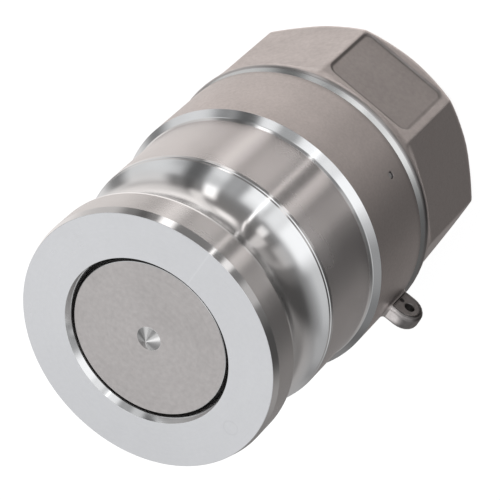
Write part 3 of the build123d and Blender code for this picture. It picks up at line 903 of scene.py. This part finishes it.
    # The hole of the lock pin
    border = [index[c][pin_low] for c in range(pin_column, pin_end)]
    border += [index[pin_end][j] for j in range(pin_low, pin_high)]
    border += [index[c][pin_high] for c in range(pin_end, pin_column, -1)]
    border += [index[pin_column][j] for j in range(pin_high, pin_low, -1)]
    loops = [border]
    for radius, depth in ((1.02, 0.0), (0.92, 0.02), (0.85, 0.08), (PIN_R, 0.2), (PIN_R, PIN_HOLE_DEPTH)):
        loop = []
        for v in border:
            x, y, z = verts[v]
            across = (atan2(y, x) - PIN_ANGLE) * BODY_R
            a = atan2(z - PIN_Z, across)
            side, up = radius * cos(a), radius * sin(a)
            reach = sqrt(BODY_R ** 2 - side ** 2) - depth
            loop.append(add(
                reach * cos(PIN_ANGLE) - side * sin(PIN_ANGLE),
                reach * sin(PIN_ANGLE) + side * cos(PIN_ANGLE),
                PIN_Z + up,
            ))
        loops.append(loop)
    # The hole's wall takes the lug's dark steel, which is painted shade
    ring_grid(loops[:3], faces, finishes, "blasted")
    ring_grid(loops[2:], faces, finishes, "lug")

    smooth = area_normals(verts, faces)
    smooth[:turned_count] = np.array(normals)
    make_piece(
        "nose_with_lug", verts, faces, smooth, finishes, steels, "housing", "turned_steel", "nose_body"
    )


make_nose()


# Octagonal tail with its collar, panel and female thread

FLATS, SIDES = 62.5, 8
CORNER_FILLET = 1.0
COLLAR_R, FOOT_LOW, FOOT_LIFT, FOOT_HIGH = 33.8, 23.5, 1.5, 28.1
FRONT_EDGE_R, FRONT_EDGE_Z, FRONT_EDGE_ROUND = 32.0, 28.34, 1.8
PANEL_DEPTH, PANEL_WALL = 0.38, 0.7
THREAD_R, THREAD_DEPTH, PITCH, THREAD_TOP = 23.9, 1.48, 2.309, 21.0
THREAD_ROOT_SHARE, THREAD_FLANK_SHARE, THREAD_FADE, THREAD_ROWS = 0.14, 0.72, 1.6, 12
THREAD_LEAD_R, END_FACE_IN_R, END_FACE_OUT_R = 25.2, 25.6, 30.85
SPIGOT_THREAD_R, SPIGOT_R, SEAL_FLOOR_R = 29.9, 28.9, 26.34
TAIL_CHAMBER_R, TAIL_THROAT_R, RELIEF_R = 25.0, 21.0, 24.3
SPIGOT_TOP, TAIL_THROAT_LOW = 43.5, 23.5


def octagon_outline():
    """Columns of the octagon as (angle, radius, u on the panel's flat or None)."""
    apothem = FLATS / 2
    half_turn = pi / SIDES
    inner = (apothem - CORNER_FILLET) / cos(half_turn)
    fine = [0.0, 2.5, 5.0, 7.0, 8.4, 9.1, 9.5, 9.8, 10.1, 10.35, 10.55, 10.75, 10.95, 11.15, 11.35, 11.55,
            11.75, 11.95, 12.15, 12.35, 12.5]
    plain = [0.0, 2.6, 5.2, 7.8, 10.2, 11.6, 12.3]
    found = []
    for side in range(SIDES):
        middle = PANEL_BEARING + side * 2 * half_turn
        us = fine if side == 0 else plain
        for u in [-u for u in reversed(us[1:])] + us:
            found.append((middle + atan2(u, apothem), hypot(u, apothem), u if side == 0 else None))
        for k in range(7):
            a = -half_turn + 2 * half_turn * k / 6
            x = inner + CORNER_FILLET * cos(a)
            y = CORNER_FILLET * sin(a)
            found.append((middle + half_turn + atan2(y, x), hypot(x, y), None))
    return found


def panel_sink(u, z):
    """How deep the panel's recess is at a place on its flat, with soft walls."""
    side = PANEL_HALF - abs(u - PANEL_MIDDLE)
    end = min(z - PANEL_LOW, PANEL_HIGH - z)
    if side < PANEL_ROUND and end < PANEL_ROUND:
        inside = PANEL_ROUND - hypot(PANEL_ROUND - side, PANEL_ROUND - end)
    else:
        inside = min(side, end)
    t = min(max((inside + 0.1) / PANEL_WALL, 0.0), 1.0)
    return PANEL_DEPTH * t * t * (3 - 2 * t)


def thread_rise(angle, z):
    """The female thread's ridge, from 0 at the root to its full depth at the crest."""
    phase = (z / PITCH - angle / (2 * pi)) % 1.0
    ramp = min(max((abs(2 * phase - 1) - THREAD_ROOT_SHARE) / THREAD_FLANK_SHARE, 0.0), 1.0)
    fade = min(max((THREAD_TOP - z) / THREAD_FADE, 0.0), 1.0)
    return THREAD_DEPTH * ramp * fade


def make_tail():
    columns = octagon_outline()
    # The spigot with its seal's gland, then down the bore to the thread
    spigot = [
        (SPIGOT_THREAD_R, 37.2, 0.1, "bore"), (SPIGOT_R, 38.2, 0.1, "bore"),
        (SPIGOT_R, 39.35, 0.1, "bore"), (SEAL_FLOOR_R, 39.35, 0.1, "bore"),
        (SEAL_FLOOR_R, 42.35, 0.1, "bore"), (SPIGOT_R, 42.35, 0.1, "bore"),
        (SPIGOT_R, SPIGOT_TOP, 0.15, "bore"), (TAIL_CHAMBER_R, SPIGOT_TOP, 0.15, "bore"),
        (TAIL_CHAMBER_R, 30.5, 0.3, "bore"), (TAIL_THROAT_R, 26.5, 0.3, "bore"),
        (TAIL_THROAT_R, TAIL_THROAT_LOW, 0.2, "bore"), (RELIEF_R, TAIL_THROAT_LOW, 0.15, "bore"),
        (RELIEF_R, THREAD_TOP, 0.05, "bore"),
    ]
    thread_start, thread_rows = THREAD_TOP - 0.02, int(THREAD_TOP / PITCH * THREAD_ROWS)
    thread_zs = [thread_start - thread_start * k / thread_rows for k in range(thread_rows + 1)]

    verts, index = [], []
    for angle, flat_r, u in columns:
        # The cone at the end, eased into the flat
        cone_top = (flat_r - END_R) * END_SLOPE
        run = hypot(flat_r - END_R, cone_top)
        share = min(END_ROUND, 0.85 * run) / run
        ease_r, ease_z = flat_r - share * (flat_r - END_R), cone_top * (1 - share)
        base = cone_top + END_ROUND
        rows = [(END_FACE_OUT_R, 0.0, "face"), (END_R - 0.06, 0.0, "cast")]
        for t in (0.1, 0.55, 1.0):
            rows.append((END_R + (ease_r - END_R) * t, ease_z * t, "cast"))
        for t in (0.25, 0.5, 0.75, 1.0):
            r = (1 - t) ** 2 * ease_r + 2 * t * (1 - t) * flat_r + t * t * flat_r
            z = (1 - t) ** 2 * ease_z + 2 * t * (1 - t) * cone_top + t * t * base
            rows.append((r, z, "cast"))
        # The flat, with close rows at the panel's two ends
        rise = COLLAR_R - flat_r
        foot = FOOT_LOW + FOOT_LIFT * (1 - rise / (COLLAR_R - FLATS / 2))
        for low, high, parts in ((base, 5.0, 20), (5.0, 21.4, 5), (21.4, foot, 10)):
            rows += [(flat_r, low + (high - low) * k / parts, "cast") for k in range(1, parts + 1)]
        # The cast foot that swells out to the collar, then the collar's rounded front edge
        for k in range(1, 15):
            t = k / 14
            rows.append((flat_r + rise * t * t * (3 - 2 * t), foot + (FOOT_HIGH - foot) * t, "cast"))
        for turn in (0, 7, 14, 21, 28):
            a = radians(turn)
            edge_r = FRONT_EDGE_R + FRONT_EDGE_ROUND * cos(a)
            edge_z = FRONT_EDGE_Z + FRONT_EDGE_ROUND * sin(a)
            rows.append((edge_r, edge_z, "bevel"))
        collar = profile_rows([
            (edge_r, edge_z, 0, "bevel"),
            (33.47, 29.38, 0, "ring"),
            (32.6, JOINT_Z, 0.35, "edge"),
            (SPIGOT_THREAD_R, JOINT_Z, 0.10, "bore"),
            *spigot,
            (THREAD_R, THREAD_TOP, 0.0, "bore"),
        ], closed=False)
        rows += [(r, z, finish) for r, z, nr, nz, finish in collar[1:-1]]
        for z in thread_zs:
            bore = THREAD_R - thread_rise(angle, z)
            rows.append((max(bore, THREAD_LEAD_R - z), z, "bore"))
        rows.append((END_FACE_IN_R, 0.0, "face"))
        if u is not None:
            rows = [
                (r - (panel_sink(u, z) if 0.5 < z < 24 and finish == "cast" and r > 30 else 0.0), z, finish)
                for r, z, finish in rows
            ]
        column = []
        for r, z, finish in rows:
            column.append(len(verts))
            verts.append((r * cos(angle), r * sin(angle), z))
        index.append(column)

    faces, finishes = [], []
    finishes_along = [finish for r, z, finish in rows]
    count = len(finishes_along)
    for near, far in zip(index, index[1:] + index[:1]):
        for j in range(count):
            up = (j + 1) % count
            faces.append([near[j], far[j], far[up], near[up]])
            finishes.append(finishes_along[j])
    make_piece(
        "octagonal_tail", verts, faces, area_normals(verts, faces), finishes, steels,
        "housing", "cast_steel", "tail_socket",
    )


make_tail()


# Poppet with its stem

STEM_END_R, STEM_R, SHANK_R, SEAL_GROOVE_R, DISC_R = 3.95, 4.95, 5.95, 17.09, 18.8
STEM_END_Z, STEM_Z, SHANK_TOP, DISC_BACK = 28.4, 37.7, 91.59, 95.21
PIP_R, PIP_TIP_R, PIP_Z = 2.9, 0.25, 98.9


def make_poppet():
    rows = profile_rows([
        (0.0, STEM_END_Z, 0, "bore"),
        (3.35, STEM_END_Z, 0.08, "bore"),
        (STEM_END_R, 29.0, 0.08, "bore"),
        (STEM_END_R, STEM_Z, 0.05, "bore"),
        (STEM_R, STEM_Z, 0.08, "fastener"),
        (STEM_R, 78.49, 0.08, "bore"),
        (SHANK_R, 79.49, 0.08, "bore"),
        (SHANK_R, SHANK_TOP, 0.05, "bore"),
        (SEAL_GROOVE_R, SHANK_TOP, 0.05, "bore"),
        (SEAL_GROOVE_R, DISC_BACK, 0.05, "bore"),
        (DISC_R, DISC_BACK, 0.10, "land"),
        (DISC_R, 97.5, 0.05, "edge"),
        (18.68, 97.62, 0.05, "poppet"),
        (PIP_R, 97.6, 0.12, "pip"),
        (PIP_TIP_R, PIP_Z, 0.15, "pip"),
        (0.0, PIP_Z, 0, "pip"),
    ], closed=False)
    verts, faces, normals, finishes = turned_grid(rows, closed=False)[:4]
    make_piece("poppet_with_stem", verts, faces, normals, finishes, steels, "poppet", "turned_steel",
               "poppet_valve")


make_poppet()


# Return spring with closed, ground ends, made at one length, though the real one shortens as the poppet
# comes in

WIRE_R, COIL_R, TURNS, CLOSED_TURNS = 1.4, 15.0, 6.0, 0.9
GROUND_TURNS, GROUND_SHARE = 0.5, 0.55
WIRE_POINTS, TURN_POINTS = 12, 32


def make_spring():
    low, high = (corner.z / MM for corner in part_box("return_spring"))
    closed_rise = 2 * WIRE_R
    open_rise = (high - low - 2 * WIRE_R - 2 * CLOSED_TURNS * closed_rise) / (TURNS - 2 * CLOSED_TURNS)
    around, along = WIRE_POINTS, int(TURNS * TURN_POINTS)
    verts, normals, faces = [], [], []
    for i in range(along + 1):
        turn = TURNS * i / along
        z = low + WIRE_R + turn * closed_rise
        z += (open_rise - closed_rise) * min(max(turn - CLOSED_TURNS, 0), TURNS - 2 * CLOSED_TURNS)
        # The wire thins over the last half turn at each end, where it is ground
        depth = min(turn, TURNS - turn) / GROUND_TURNS
        wire = WIRE_R * min(1.0, GROUND_SHARE + (1 - GROUND_SHARE) * depth)
        a = 2 * pi * turn
        for j in range(around):
            b = 2 * pi * j / around
            r, up = COIL_R + wire * cos(b), z + wire * sin(b)
            verts.append((r * cos(a), r * sin(a), min(max(up, low), high)))
            normals.append((cos(b) * cos(a), cos(b) * sin(a), sin(b)))
    for i in range(along):
        for j in range(around):
            first, second = i * around + j, i * around + (j + 1) % around
            faces.append([first, first + around, second + around, second])
    faces.append(list(range(around)))
    faces.append(list(range(along * around, (along + 1) * around))[::-1])
    spring = make_piece("return_spring_coil", verts, faces, normals, ["spring"] * len(faces), steels,
                        "housing", "spring_steel", "return_spring")
    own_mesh(spring)


make_spring()


# Materials of the CAD nodes, also of those that a piece replaces

node_materials = {
    "body_joint_seal": rubber,
    "joint_lock_pin": fastener_steel,
    "guide_spider": spider_steel,
    "front_guide_bush": polymer,
    "rear_guide_bush": polymer,
    "spring_seat": bore_steel,
    "return_spring": spring_steel,
    "poppet_valve": poppet_steel,
    "poppet_seal": rubber,
    "seal_retainer": bore_steel,
    "retainer_washer": fastener_steel,
    "retainer_nut": fastener_steel,
    "stop_washer": fastener_steel,
    "stop_nut": fastener_steel,
    "nose_body": shoulder_steel,
    "tail_socket": cast_steel,
}
for node, material in node_materials.items():
    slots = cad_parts[node].data.materials
    slots.clear()
    slots.append(material)

bpy.context.scene.view_settings.view_transform = "Standard"
